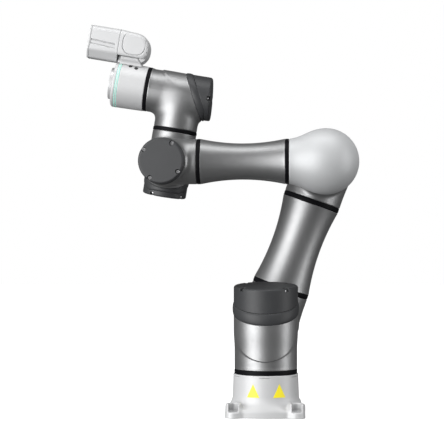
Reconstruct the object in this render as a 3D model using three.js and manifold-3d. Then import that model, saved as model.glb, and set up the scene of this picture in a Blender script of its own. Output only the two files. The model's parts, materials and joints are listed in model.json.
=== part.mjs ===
// Six-axis collaborative robot arm with an end module that carries a small vision camera.
// Millimetres, +Z up. The origin is the centre of the base's underside, on the first joint's axis.
// +X is the side the elbow leans to and -Y is the front. The arm stands bent at joint value 0.
import * as THREE from 'three';
import { mergeVertices } from 'three/addons/utils/BufferGeometryUtils.js';
import Module from 'manifold-3d';

const wasm = await Module();
wasm.setup();

// ---- driving dimensions -------------------------------------------------------------------------
const GAP = 0.3; // left between pieces that touch
const SEGMENTS = 20; // sides of a large round piece
const INNER_SEGMENTS = 12; // sides of a round piece inside a housing

// Where the joint axes stand at rest.
const SHOULDER_HEIGHT = 161.7; // second joint's axis above the floor
const UPPER_ARM_Y = 165; // plane of the upper arm, behind the first axis
const FOREARM_Y = -11; // plane of the forearm, in front of the upper arm
const WRIST_Y = 122.3; // plane of the fifth and sixth axes
const UPPER_ARM_LENGTH = 343.2; // second axis to third axis
const FOREARM_LENGTH = 311.5; // third axis to fourth axis
const UPPER_ARM_LEAN = 19.6; // degrees from vertical, towards +X
const WRIST_TILT = 9.52; // degrees the fifth axis leans towards +X
const WRIST_RISE = 141.35; // fourth axis to sixth axis, along the fifth
const FLANGE_REACH = 144.2; // fifth axis to the tool flange's face, along the sixth

// One actuator module. Its own frame has +Z from the driven ring to the rear cap, and +X to the port.
// ring is the distance from the port's axis to the driven seal ring's middle, band the rear edge of
// the housing on the axis, and slope how fast that edge climbs towards the port.
const LARGE = {
  body: 61.8, port: 58.1, seal: 60.4, wall: 4.5, ring: 78.5, ringHeight: 8, end: 85.6, round: 11,
  band: 31.3, bandHeight: 21.5, bandBulge: 2.2, slope: 0.315, motor: 44, gear: 24, shaft: 15,
};
const SMALL = {
  body: 43.6, port: 43.4, seal: 44.2, wall: 3.6, ring: 67.4, ringHeight: 6.3, end: 64, round: 8,
  band: 25.5, bandHeight: 14.5, bandBulge: 1.6, slope: 0.505, motor: 31, gear: 18, shaft: 10,
};

const SEAL_WIDTH = 8; // radial width of the driven seal rings
const END_SLOPE = 0.085; // how fast a rear cap's flat end climbs towards the port
const CAP_CORNER = 4; // rounded edge of a cap's flat end

const UPPER_ARM_RING = { reach: 79.2, height: 9, radius: 58.1, bore: 40 };
const FOREARM_RING = { reach: 74.1, height: 6.7, radius: 43.45, bore: 30 };
const FOREARM_WRIST_REACH = 68.5; // fourth axis to the ring at the forearm's outer end
const UPPER_ARM_WAIST = 49.7;
const FOREARM_WAIST = 34.7;
const TUBE_WALL = 4;

const ELBOW_RADIUS = 60.8;
const ELBOW_WALL = 4;

const BASE = {
  top: 78.9, topRadius: 62.5, footRadius: 68, wall: 6, lug: 16.5, lugAt: 60, lugHeight: 28,
  seat: 12, boltHole: 5.5, pocket: 9, boss: 58, bossDepth: 82, bossTop: 42, skirt: 67, skirtTop: 25,
};

// The end module, measured back from the flange's face along the sixth axis.
const END = {
  radius: 45.8, rearRadius: 44.8, wall: 4,
  rear: FLANGE_REACH - SMALL.ring - SMALL.ringHeight / 2 - GAP,
  light: 19.7, lightHeight: 4.5, front: 14.9, rim: 7.5, flange: 31.5, centring: 15.75,
  boltCircle: 50, boltHole: 2.5, pin: 3,
};
const BUTTON = { radius: 3.1, hole: 3.7, proud: 1.2, length: 6.4 };
const BUTTONS = { freedrive_button: [-37.6, -33], waypoint_button: [-49.6, -38] }; // place along, degrees

// The vision camera on the end module: x is the height above the sixth axis, z forward of the flange.
const CAMERA = {
  front: 54.5, split: -7, rear: -68, bottom: 43, top: 108.5, half: 31, chamferTop: 60, sill: 17,
  rearBottom: 57, wall: 2.5, bezel: 4, bracketHalf: 20, bracketFront: -8.5, bracketRear: -60,
};

// ---- solids -------------------------------------------------------------------------------------
const rad = THREE.MathUtils.degToRad;

function signedVolume(position, index) {
  const [a, b, c] = [new THREE.Vector3(), new THREE.Vector3(), new THREE.Vector3()];
  let sum = 0;
  for (let i = 0; i < index.length; i += 3) {
    a.fromArray(position, 3 * index[i]);
    b.fromArray(position, 3 * index[i + 1]);
    c.fromArray(position, 3 * index[i + 2]);
    sum += a.dot(b.cross(c)) / 6;
  }
  return sum;
}

// A closed three.js geometry as a solid with its faces pointing out.
function solid(geometry) {
  const bare = geometry.clone();
  for (const name of Object.keys(bare.attributes)) {
    if (name !== 'position') bare.deleteAttribute(name);
  }
  const merged = mergeVertices(bare, 1e-4);
  const position = new Float32Array(merged.attributes.position.array);
  const source = merged.index.array;
  const kept = [];
  for (let i = 0; i < source.length; i += 3) {
    const [a, b, c] = [source[i], source[i + 1], source[i + 2]];
    if (a !== b && b !== c && c !== a) kept.push(a, b, c);
  }
  if (signedVolume(position, kept) < 0) kept.reverse();
  const mesh = new wasm.Mesh({ numProp: 3, vertProperties: position, triVerts: new Uint32Array(kept) });
  mesh.merge();
  return new wasm.Manifold(mesh);
}

function toGeometry(shape) {
  const mesh = shape.getMesh();
  const geometry = new THREE.BufferGeometry();
  geometry.setAttribute('position', new THREE.BufferAttribute(new Float32Array(mesh.vertProperties), 3));
  geometry.setIndex(new THREE.BufferAttribute(new Uint32Array(mesh.triVerts), 1));
  geometry.computeVertexNormals();
  return geometry;
}

// A solid of revolution about Z from [radius, z] points.
function turned(points, segments = SEGMENTS) {
  const profile = points.map(([r, z]) => new THREE.Vector2(r, z));
  const geometry = new THREE.LatheGeometry(profile, segments);
  geometry.rotateX(Math.PI / 2);
  geometry.rotateZ(Math.PI / segments);
  return solid(geometry);
}

function disc(radius, low, high, segments = SEGMENTS) {
  return turned([[0, low], [radius, low], [radius, high], [0, high]], segments);
}

function annulus(outer, inner, low, high, segments = SEGMENTS) {
  return turned([[inner, low], [outer, low], [outer, high], [inner, high], [inner, low]], segments);
}

function block(x0, x1, y0, y1, z0, z1) {
  const geometry = new THREE.BoxGeometry(x1 - x0, y1 - y0, z1 - z0);
  geometry.translate((x0 + x1) / 2, (y0 + y1) / 2, (z0 + z1) / 2);
  return solid(geometry);
}

// An outline in X and Y pulled along Z.
function pulled(shape, low, high) {
  const options = { depth: high - low, bevelEnabled: false, curveSegments: 4 };
  const geometry = new THREE.ExtrudeGeometry(shape, options);
  geometry.translate(0, 0, low);
  return solid(geometry);
}

// Turns a solid made along Z so that it lies along X, or along Y.
const alongX = (shape) => shape.rotate([0, 90, 0]);
const alongY = (shape) => shape.rotate([-90, 0, 0]);

// Everything above the slanted plane z = height + slope * x.
function above(height, slope) {
  const size = 400;
  const half = block(-size, size, -size, size, 0, size);
  return half.rotate([0, -THREE.MathUtils.radToDeg(Math.atan(slope)), 0]).translate([0, 0, height]);
}

// ---- scene graph --------------------------------------------------------------------------------
const FINISH = {
  grey: { color: 0x7d7e80, metalness: 0.75, roughness: 0.38 },
  silver: { color: 0xd3d4d6, metalness: 0.45, roughness: 0.4 },
  white: { color: 0xe4e5e6, metalness: 0.05, roughness: 0.42 },
  cap: { color: 0x3f4041, metalness: 0, roughness: 0.5 },
  seal: { color: 0x0b0b0c, metalness: 0, roughness: 0.3 },
  steel: { color: 0x9a9c9f, metalness: 0.9, roughness: 0.35 },
  copper: { color: 0x8a6a4a, metalness: 0.6, roughness: 0.45 },
  mint: { color: 0xaef0dd, metalness: 0, roughness: 0.3 },
  black: { color: 0x151617, metalness: 0, roughness: 0.4 },
  glass: { color: 0x0d1418, metalness: 0, roughness: 0.06 },
};

const arm = new THREE.Group();

function placed(parent, origin, xAxis, zAxis) {
  const x = xAxis.clone().normalize();
  const z = zAxis.clone().normalize();
  const group = new THREE.Group();
  const basis = new THREE.Matrix4().makeBasis(x, z.clone().cross(x), z);
  group.quaternion.setFromRotationMatrix(basis);
  group.position.copy(origin);
  parent.add(group);
  return group;
}

function piece(parent, name, shape, finish) {
  const mesh = new THREE.Mesh(toGeometry(shape), new THREE.MeshStandardMaterial(FINISH[finish]));
  mesh.name = name;
  parent.add(mesh);
}

// ---- actuator modules ---------------------------------------------------------------------------
// Round body with a side port that ends at portEnd; the rear is cut on a slant for the cap.
function housing(size, portEnd) {
  const bottom = -size.ring + size.ringHeight / 2 + GAP;
  const inner = size.body - size.wall;
  const outside = turned([
    [0, bottom], [size.seal - 0.2, bottom], [size.body, bottom + 6], [size.body, size.end], [0, size.end],
  ]);
  const port = alongX(turned([
    [0, 0], [size.body - 1.2, 0], [size.port, 0.7 * portEnd], [size.port, portEnd], [0, portEnd],
  ]));
  const hollow = disc(inner, bottom + size.wall, size.end + 5);
  const outlet = disc(size.motor - 2, bottom - 5, bottom + size.wall + 5, INNER_SEGMENTS);
  const portHollow = alongX(disc(size.port - 2 * size.wall, 0, portEnd + 5, INNER_SEGMENTS));
  return outside.add(port).subtract(hollow).subtract(outlet).subtract(portHollow)
    .subtract(above(size.band, size.slope));
}

// Slanted rim band between the housing and the cap, slightly proud of both.
function rimBand(size) {
  const outer = size.body + size.bandBulge;
  const inner = size.body - size.wall;
  const [low, high] = [size.band - size.slope * outer - 5, size.end];
  const ring = turned([[inner, low], [outer, low], [outer, high], [inner, high], [inner, low]]);
  return ring.intersect(above(size.band + GAP, size.slope))
    .subtract(above(size.band + size.bandHeight, size.slope))
    .intersect(disc(outer + 5, low, size.end - size.round));
}

// Rear cover: a cup whose flat end is tilted, its long side opposite the port.
function rearCap(size) {
  const { body, end, round, wall } = size;
  const low = size.band - size.slope * body - 5;
  const rise = END_SLOPE * body;
  const tilted = (shape, height) => shape.subtract(above(height, END_SLOPE));
  const outside = tilted(disc(body, low, end + 2 * rise), end - CAP_CORNER)
    .add(tilted(disc(body - 0.3 * CAP_CORNER, low, end + 2 * rise), end - 0.3 * CAP_CORNER))
    .add(tilted(disc(body - CAP_CORNER, low, end + 2 * rise), end));
  const hollow = disc(body - wall, low - 5, end - round);
  const keep = above(size.band + size.bandHeight + GAP, size.slope)
    .add(disc(body + 5, end - round + GAP, end + 2 * rise));
  return outside.subtract(hollow).intersect(keep);
}

// Motor stator and strain-wave gear in one stepped body with a bore for the hollow shaft.
function motorGearUnit(size) {
  const low = -size.ring + size.ringHeight / 2 + size.wall + 2 * GAP;
  const wide = size.body - size.wall - 1.4;
  const bore = size.shaft + 0.9; // clears the many-sided shaft at every turn
  return turned([
    [bore, low], [wide, low], [wide, low + size.gear], [size.motor, low + size.gear],
    [size.motor, 6], [bore, 6], [bore, low],
  ], INNER_SEGMENTS);
}

// Output flange and hollow cable shaft, fixed to the driven link, with the encoder disc at the rear.
function outputShaft(size) {
  const { ring, shaft, motor, port } = size;
  const [low, bore, flange] = [-ring - 2, shaft - 4, port - SEAL_WIDTH - 2 * GAP];
  return turned([
    [bore, low], [flange, low], [flange, low + 4], [shaft, low + 4], [shaft, 7], [0.8 * motor, 7],
    [0.8 * motor, 10], [bore, 10], [bore, low],
  ], INNER_SEGMENTS);
}

function actuator(parent, number, size, portEnd, origin, port, rear, driven) {
  const name = (part) => `joint_${number}_${part}`;
  const frame = placed(parent, origin, port, rear);
  const ring = [-size.ring - size.ringHeight / 2, -size.ring + size.ringHeight / 2];
  const seal = annulus(size.seal, size.port - SEAL_WIDTH, ...ring);
  const drivenFrame = placed(driven, origin, port, rear);
  piece(frame, name('housing'), housing(size, portEnd), 'grey');
  piece(frame, name('rim_band'), rimBand(size), 'cap');
  piece(frame, name('rear_cap'), rearCap(size), 'cap');
  piece(frame, name('motor_gear_unit'), motorGearUnit(size), 'copper');
  piece(drivenFrame, name('output_shaft'), outputShaft(size), 'steel');
  piece(drivenFrame, name('seal_ring'), seal, 'seal');
}

// ---- axes at rest -------------------------------------------------------------------------------
const X = new THREE.Vector3(1, 0, 0);
const Y = new THREE.Vector3(0, 1, 0);
const Z = new THREE.Vector3(0, 0, 1);
const DOWN = Z.clone().negate();
const FRONT = Y.clone().negate();
const lean = rad(UPPER_ARM_LEAN);
const tilt = rad(WRIST_TILT);
const upperArm = new THREE.Vector3(Math.sin(lean), 0, Math.cos(lean));
const forearm = X.clone().negate();
const fifth = new THREE.Vector3(Math.sin(tilt), 0, Math.cos(tilt));
const sixth = new THREE.Vector3(-Math.cos(tilt), 0, Math.sin(tilt));

const shoulder = new THREE.Vector3(0, 0, SHOULDER_HEIGHT);
const armRoot = new THREE.Vector3(0, UPPER_ARM_Y, SHOULDER_HEIGHT);
const armTip = armRoot.clone().addScaledVector(upperArm, UPPER_ARM_LENGTH);
const elbow = new THREE.Vector3(armTip.x, FOREARM_Y, armTip.z);
const wristRoot = elbow.clone().addScaledVector(forearm, FOREARM_LENGTH);
const wristTurn = new THREE.Vector3(wristRoot.x, WRIST_Y, wristRoot.z);
const wristTip = wristTurn.clone().addScaledVector(fifth, WRIST_RISE);
const flangeFace = wristTip.clone().addScaledVector(sixth, FLANGE_REACH);

// One group for each link that moves as a whole, each inside the one that carries it.
function link(parent) {
  const group = new THREE.Group();
  parent.add(group);
  return group;
}
const baseLink = link(arm);
const shoulderLink = link(baseLink);
const upperArmLink = link(shoulderLink);
const forearmLink = link(upperArmLink);
const wristLink = link(forearmLink);
const turnLink = link(wristLink);
const endLink = link(turnLink);

// ---- base ---------------------------------------------------------------------------------------
// A block between two corners given in any order.
function blockBetween(a, b) {
  const low = a.map((value, i) => Math.min(value, b[i]));
  const high = a.map((value, i) => Math.max(value, b[i]));
  return block(low[0], high[0], low[1], high[1], low[2], high[2]);
}

// Round casting on four lugs. The front bolts sit in raised pockets and the rear ones beside the boss.
function baseCasting() {
  const { top, topRadius, footRadius, wall, lug, lugAt, lugHeight, seat, pocket } = BASE;
  const { boss, bossDepth, bossTop, skirt, skirtTop, boltHole } = BASE;
  const web = 20; // where a lug's arms start
  const corners = [[-1, -1], [-1, 1], [1, -1], [1, 1]];
  let shape = turned([
    [0, 0], [footRadius, 0], [footRadius, 8], [64.5, 16], [topRadius, 40], [topRadius, top], [0, top],
  ]);
  shape = shape.add(block(-boss, boss, 30, bossDepth, 4, bossTop));
  shape = shape.add(block(-skirt, skirt, 20, lugAt, 0, skirtTop));
  for (const [sx, sy] of corners) {
    const [x, y] = [sx * lugAt, sy * lugAt];
    shape = shape.add(disc(lug, 0, sy < 0 ? lugHeight : seat, 16).translate([x, y, 0]));
    shape = shape.add(blockBetween([sx * web, sy * web, 0], [x, y, seat]));
    shape = shape.add(blockBetween([x - 8, sy * web, 0], [x + 8, y, seat]));
  }
  const hollow = disc(topRadius - wall, wall, top + 5);
  const bossHollow = block(-46, 46, 20, bossDepth + 5, 12, bossTop - 6);
  shape = shape.subtract(hollow).subtract(bossHollow);
  for (const [sx, sy] of corners) {
    const [x, y] = [sx * lugAt, sy * lugAt];
    const open = blockBetween([x - pocket, y, seat], [x + pocket, sy * (lugAt + 40), bossTop + 5]);
    shape = shape.subtract(disc(pocket, seat, bossTop + 5, 16).translate([x, y, 0]));
    shape = shape.subtract(disc(boltHole, -5, seat + 5, 12).translate([x, y, 0]));
    shape = shape.subtract(open);
  }
  return shape;
}

piece(baseLink, 'base_casting', baseCasting(), 'silver');
const panelY = BASE.bossDepth;
const socketCentre = [0, 0, 24];
const panel = block(-45.6, 45.6, panelY - 5, panelY - 2, 12.4, BASE.bossTop - 6.4)
  .subtract(alongY(disc(11.6, panelY - 20, panelY + 5, 16)).translate(socketCentre));
piece(baseLink, 'base_connector_panel', panel, 'black');
const socket = turned([
  [0, panelY - 18], [11, panelY - 18], [11, panelY], [8.5, panelY], [8.5, panelY - 10], [0, panelY - 10],
], 16);
piece(baseLink, 'base_cable_socket', alongY(socket).translate(socketCentre), 'steel');

// ---- the six actuators --------------------------------------------------------------------------
const armPort = UPPER_ARM_RING.reach - UPPER_ARM_RING.height / 2 - GAP;
const shoulderPort = UPPER_ARM_Y - LARGE.ring - LARGE.ringHeight / 2 - GAP;
const forearmPort = FOREARM_WRIST_REACH - FOREARM_RING.height / 2 - GAP;
const turnPort = WRIST_Y - FOREARM_Y - SMALL.ring - SMALL.ringHeight / 2 - GAP;
const tipPort = WRIST_RISE - SMALL.ring - SMALL.ringHeight / 2 - GAP;
actuator(shoulderLink, 1, LARGE, shoulderPort, shoulder, Y, Z, baseLink);
actuator(upperArmLink, 2, LARGE, armPort, armRoot, upperArm, Y, shoulderLink);
actuator(upperArmLink, 3, LARGE, armPort, armTip, upperArm.clone().negate(), Y, forearmLink);
actuator(forearmLink, 4, { ...SMALL, end: 61 }, forearmPort, wristRoot, X, FRONT, wristLink);
actuator(wristLink, 5, SMALL, turnPort, wristTurn, FRONT, fifth.clone().negate(), turnLink);
actuator(turnLink, 6, { ...SMALL, end: 62 }, tipPort, wristTip, fifth.clone().negate(),
  sixth.clone().negate(), endLink);

// ---- arm tubes and elbow ------------------------------------------------------------------------
// A waisted tube from low to high along Z.
function armTube(low, high, end, waist) {
  const steps = 4;
  const radiusAt = (t) => waist + (end - waist) * (2 * t - 1) ** 2;
  const stations = Array.from({ length: steps + 1 }, (_, i) => i / steps);
  const outer = stations.map((t) => [radiusAt(t), low + (high - low) * t]);
  const inner = stations.map((t) => [radiusAt(t) - TUBE_WALL, low + (high - low) * t]).reverse();
  return turned([...outer, ...inner, outer[0]]);
}

function tubeRing(size, reach) {
  return annulus(size.radius, size.bore, reach - size.height / 2, reach + size.height / 2);
}

const upperFrame = placed(upperArmLink, armRoot, Y, upperArm);
const upperReach = UPPER_ARM_RING.reach + UPPER_ARM_RING.height / 2 + GAP;
piece(upperFrame, 'upper_arm_tube',
  armTube(upperReach, UPPER_ARM_LENGTH - upperReach, UPPER_ARM_RING.radius, UPPER_ARM_WAIST), 'grey');
piece(upperFrame, 'upper_arm_shoulder_ring', tubeRing(UPPER_ARM_RING, UPPER_ARM_RING.reach), 'seal');
piece(upperFrame, 'upper_arm_elbow_ring',
  tubeRing(UPPER_ARM_RING, UPPER_ARM_LENGTH - UPPER_ARM_RING.reach), 'seal');

const forearmFrame = placed(forearmLink, elbow, Y, forearm);
const halfRing = FOREARM_RING.height / 2;
const outerRing = FOREARM_LENGTH - FOREARM_WRIST_REACH;
piece(forearmFrame, 'forearm_tube', armTube(
  FOREARM_RING.reach + halfRing + GAP, outerRing - halfRing - GAP, FOREARM_RING.radius, FOREARM_WAIST,
), 'grey');
piece(forearmFrame, 'forearm_elbow_ring', tubeRing(FOREARM_RING, FOREARM_RING.reach), 'seal');
piece(forearmFrame, 'forearm_wrist_ring', tubeRing(FOREARM_RING, outerRing), 'seal');

// Ball-shaped elbow cover: +Z of its frame is the forearm, and its rear boss meets the third joint.
function elbowCover() {
  const rearEnd = UPPER_ARM_Y - FOREARM_Y - LARGE.ring - LARGE.ringHeight / 2 - GAP;
  const neckEnd = FOREARM_RING.reach - halfRing - GAP;
  const ball = solid(new THREE.SphereGeometry(ELBOW_RADIUS, SEGMENTS, 10));
  const ballHollow = solid(new THREE.SphereGeometry(ELBOW_RADIUS - ELBOW_WALL, 12, 8));
  const rear = disc(LARGE.port, 0, rearEnd);
  const neck = turned([
    [0, 0], [56, 18], [49, 40], [45, 55], [FOREARM_RING.radius, neckEnd - 4],
    [FOREARM_RING.radius, neckEnd], [0, neckEnd],
  ]);
  const rearHollow = disc(LARGE.port - 8, 0, rearEnd + 5, INNER_SEGMENTS);
  const neckHollow = disc(FOREARM_RING.bore + 3, 0, neckEnd + 5, INNER_SEGMENTS);
  const turnRear = (shape) => shape.rotate([0, 90, 0]); // the frame's +X is the row's +Y
  return ball.add(turnRear(rear)).add(neck).subtract(ballHollow).subtract(turnRear(rearHollow))
    .subtract(neckHollow);
}
piece(forearmFrame, 'elbow_cover', elbowCover(), 'silver');

// Cable looms held inside the tubes.
function loom(radius, low, high, bow) {
  const curve = new THREE.CatmullRomCurve3([
    new THREE.Vector3(0, 0, low), new THREE.Vector3(bow, 0, low + 0.3 * (high - low)),
    new THREE.Vector3(bow, 0, low + 0.7 * (high - low)), new THREE.Vector3(0, 0, high),
  ]);
  const section = new THREE.Shape().absarc(0, 0, radius, 0, 2 * Math.PI, false);
  const options = { steps: 8, curveSegments: 4, bevelEnabled: false, extrudePath: curve };
  return solid(new THREE.ExtrudeGeometry(section, options));
}
piece(upperFrame, 'upper_arm_cable_loom', loom(8, 66, UPPER_ARM_LENGTH - 66, 14), 'black');
piece(forearmFrame, 'forearm_cable_loom', loom(6.5, 40, FOREARM_LENGTH - 52, 9), 'black');

// ---- end module ---------------------------------------------------------------------------------
// Frame: +Z out of the flange along the sixth axis, +X up to the vision camera, origin on the face.
const endFrame = placed(endLink, flangeFace, fifth, sixth);

function radial(shape, along, degrees) { // lays a solid made along Z out along a radius
  return alongX(shape).rotate([0, 0, degrees]).translate([0, 0, along]);
}

function endHousing() {
  const { radius, rearRadius, wall, rear, light } = END;
  let shape = turned([
    [0, -rear], [rearRadius - 1, -rear], [rearRadius, -rear + 2], [radius, -light - GAP],
    [0, -light - GAP],
  ]);
  shape = shape.subtract(disc(rearRadius - wall - 0.5, -rear + wall, 5));
  shape = shape.subtract(disc(26, -rear - 5, -rear + wall + 5, INNER_SEGMENTS));
  for (const [along, degrees] of Object.values(BUTTONS)) {
    shape = shape.subtract(radial(disc(BUTTON.hole, 30, 60, 12), along, degrees));
  }
  return shape;
}

function toolFlange() {
  const { flange, centring, front, boltCircle, boltHole, pin } = END;
  let shape = disc(flange, -front, 0, SEGMENTS).add(disc(flange - 6, -front - 8, -front + 1, 16));
  shape = shape.subtract(disc(centring, -6, 5, 20)).subtract(disc(9, -60, 0, 12));
  for (let i = 0; i < 4; i += 1) {
    const turn = rad(45 + 90 * i);
    const at = [boltCircle / 2 * Math.cos(turn), boltCircle / 2 * Math.sin(turn), 0];
    shape = shape.subtract(disc(boltHole, -10, 5, 8).translate(at));
  }
  return shape.subtract(disc(pin, -8, 5, 8).translate([boltCircle / 2, 0, 0]));
}

piece(endFrame, 'end_module_housing', endHousing(), 'white');
piece(endFrame, 'status_light_ring',
  annulus(END.radius + 0.3, END.flange + 4, -END.light, -END.light + END.lightHeight), 'mint');
piece(endFrame, 'end_module_front_cover', turned([
  [END.flange + 0.5, -END.front], [END.radius, -END.front], [END.radius, -END.rim - 2],
  [END.radius - 2, -END.rim], [END.flange + 0.5, -END.rim], [END.flange + 0.5, -END.front],
]), 'white');
piece(endFrame, 'tool_flange', toolFlange(), 'silver');
for (const [name, [along, degrees]] of Object.entries(BUTTONS)) {
  const high = END.radius + BUTTON.proud;
  const button = disc(BUTTON.radius, high - BUTTON.length, high, 12);
  const buttonFrame = placed(link(endLink), flangeFace, fifth, sixth);
  piece(buttonFrame, name, radial(button, along, degrees), 'black');
}

// ---- vision camera ------------------------------------------------------------------------------
// Section across the camera: rounded above, drawn in below the chamfer. inset makes the hollow.
function cameraSection(bottom, inset) {
  const { top, half, chamferTop, sill } = CAMERA;
  const [high, side, round] = [top - inset, half - inset, 14 - inset];
  const shape = new THREE.Shape();
  if (bottom < chamferTop) {
    shape.moveTo(bottom + inset, -sill + inset / 2);
    shape.lineTo(bottom + inset, sill - inset / 2);
    shape.lineTo(chamferTop, side);
  } else {
    shape.moveTo(bottom + inset, -side);
    shape.lineTo(bottom + inset, side);
  }
  shape.lineTo(high - round, side);
  shape.absarc(high - round, side - round, round, Math.PI / 2, 0, true);
  shape.absarc(high - round, -side + round, round, 0, -Math.PI / 2, true);
  if (bottom < chamferTop) shape.lineTo(chamferTop, -side);
  shape.closePath();
  return shape;
}

// Side view of the rear cover, height as X and place along the axis as Y: its rear end is rounded.
function rearSide(inset) {
  const { rear, split, top, rearBottom } = CAMERA;
  const [back, high, low] = [rear + inset, top - inset, rearBottom + inset];
  const mouth = split - GAP + 2 * inset; // the hollow runs out of the open end
  const shape = new THREE.Shape();
  shape.moveTo(low, mouth);
  shape.lineTo(high, mouth);
  shape.lineTo(high, back + 34);
  shape.quadraticCurveTo(high, back + 4, 0.62 * high + 0.38 * low, back);
  shape.lineTo(low + 4, back + 1);
  shape.lineTo(low, back + 6);
  shape.closePath();
  return shape;
}

function cameraRearCover() {
  const { rear, split, rearBottom, wall } = CAMERA;
  const body = (inset) => {
    const section = pulled(cameraSection(rearBottom + 4, inset), rear - 5, split + 10);
    const slab = block(rearBottom + inset, rearBottom + 20, -24 + inset, 24 - inset, rear - 5, split + 10);
    const side = pulled(rearSide(inset), -60, 60).rotate([90, 0, 0]);
    return section.add(slab).intersect(side);
  };
  return body(0).subtract(body(wall));
}
piece(endFrame, 'vision_camera_rear_cover', cameraRearCover(), 'white');
const bodyFront = CAMERA.front - CAMERA.bezel - GAP;
piece(endFrame, 'vision_camera_housing',
  pulled(cameraSection(CAMERA.bottom, 0), CAMERA.split, bodyFront)
    .subtract(pulled(cameraSection(CAMERA.bottom, CAMERA.wall), CAMERA.split + 3, bodyFront + 5))
    .subtract(disc(8, CAMERA.split - 5, CAMERA.split + 8, 12).translate([80, 0, 0])), 'white');
piece(endFrame, 'vision_camera_bezel',
  pulled(cameraSection(CAMERA.bottom, 0), CAMERA.front - CAMERA.bezel, CAMERA.front)
    .subtract(pulled(cameraSection(CAMERA.bottom + 2, 6), CAMERA.front - 10, CAMERA.front + 5)), 'white');
piece(endFrame, 'vision_camera_window',
  pulled(cameraSection(CAMERA.bottom + 2, 6.4), CAMERA.front - 3.6, CAMERA.front - 1.2), 'glass');
piece(endFrame, 'vision_camera_lens', turned([
  [6, 14], [11, 14], [11, 36], [15, 36], [15, 50], [12, 50], [12, 40], [6, 40], [6, 14],
], 16).translate([78, 0, 0]), 'black');
const saddle = block(34, CAMERA.rearBottom - GAP, -CAMERA.bracketHalf, CAMERA.bracketHalf,
  CAMERA.bracketRear, CAMERA.bracketFront).subtract(disc(END.radius + 0.3 + GAP, -90, 5));
piece(endFrame, 'vision_camera_bracket', saddle, 'white');

export default arm;
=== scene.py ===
import json
import math

import bmesh
import bpy
import numpy as np
from mathutils import Matrix, Vector


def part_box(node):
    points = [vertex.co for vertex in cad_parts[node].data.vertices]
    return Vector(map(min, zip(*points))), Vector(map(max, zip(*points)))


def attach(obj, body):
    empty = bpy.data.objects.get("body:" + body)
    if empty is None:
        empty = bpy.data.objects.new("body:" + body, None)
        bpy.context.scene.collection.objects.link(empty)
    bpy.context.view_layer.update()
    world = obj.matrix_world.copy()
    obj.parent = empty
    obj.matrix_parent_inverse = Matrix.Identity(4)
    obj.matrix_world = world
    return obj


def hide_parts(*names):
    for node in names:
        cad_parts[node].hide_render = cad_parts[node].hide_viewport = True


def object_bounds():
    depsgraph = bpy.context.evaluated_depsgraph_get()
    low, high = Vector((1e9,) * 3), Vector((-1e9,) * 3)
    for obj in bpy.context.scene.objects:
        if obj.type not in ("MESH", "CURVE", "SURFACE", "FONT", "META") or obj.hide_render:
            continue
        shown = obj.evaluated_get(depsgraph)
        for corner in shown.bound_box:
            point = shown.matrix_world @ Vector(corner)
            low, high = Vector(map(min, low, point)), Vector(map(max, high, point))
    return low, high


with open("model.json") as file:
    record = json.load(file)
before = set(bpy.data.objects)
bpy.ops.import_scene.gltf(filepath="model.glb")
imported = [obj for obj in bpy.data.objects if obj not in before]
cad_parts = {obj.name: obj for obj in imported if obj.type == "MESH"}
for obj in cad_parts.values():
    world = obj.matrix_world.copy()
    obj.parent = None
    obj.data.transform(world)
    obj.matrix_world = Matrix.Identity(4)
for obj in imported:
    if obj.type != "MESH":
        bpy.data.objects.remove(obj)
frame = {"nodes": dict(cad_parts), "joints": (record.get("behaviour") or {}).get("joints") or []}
CAD_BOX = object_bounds()
JOINTS = {joint["name"]: joint for joint in frame["joints"]}

# ---- driving values, in metres unless a name says degrees -------------------------------------------
MM = 0.001
GAP = 0.3 * MM  # between pieces that touch
CELL = 1.5 * MM  # mesh step on large castings
MID_CELL = 1.2 * MM  # mesh step on the base and the small castings
FINE_CELL = 1.0 * MM  # mesh step on pieces with small features
ROUND = 96  # sides of a turned piece

LARGE_SLOPE = 0.315  # how fast the rear cut of a large module climbs towards its port
SMALL_SLOPE = 0.505
WALL = {"large": 4.5 * MM, "small": 3.6 * MM}
MOTOR = {"large": 44 * MM, "small": 31 * MM}
END_SLOPE = 0.085  # how fast the flat end of a rear cap climbs towards the port
CAP_CORNER = 4 * MM  # rounded edge of that end
NOTCH, NOTCH_DEPTH = 4.2 * MM, 6.5 * MM  # radius and depth of the notches round the cap screws
CREASE_STEP = 1.5 * MM  # how far the neck of a housing stands back from its body
CREASE_SLOPE, CREASE_DROP = 0.85, 6 * MM  # the slanted line where it does so, on the side away from the port
SCREW_TURN = {1: 132, 2: 45, 3: 45, 4: 57, 5: 30, 6: 2}  # degrees from the port to the first cap screw
TUBE_WALL = 4 * MM


# ---- places -----------------------------------------------------------------------------------------
def place(origin, x_axis, z_axis):
    """The matrix of a local frame with these axes."""
    x, z = Vector(x_axis).normalized(), Vector(z_axis).normalized()
    turn = Matrix((x, z.cross(x), z)).transposed().to_4x4()
    return Matrix.Translation(Vector(origin)) @ turn


def points_in(node, where):
    """A CAD node's corners as an array, in the local frame of where."""
    inverse = np.array(where.inverted())
    corners = np.array([v.co for v in frame["nodes"][node].data.vertices], float)
    return corners @ inverse[:3, :3].T + inverse[:3, 3]


def reach(node, where, axis=2):
    values = points_in(node, where)[:, axis]
    return values.min(), values.max()


def widest(node, where):
    """Largest distance of a node from the local Z axis."""
    corners = points_in(node, where)
    return np.hypot(corners[:, 0], corners[:, 1]).max()


def middle(node, axis):
    low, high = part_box(node)
    return (low[axis] + high[axis]) / 2


def joint_point(name):
    return Vector(JOINTS[name]["pos_m"])


def joint_axis(name):
    return Vector(JOINTS[name]["axis"])


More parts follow.
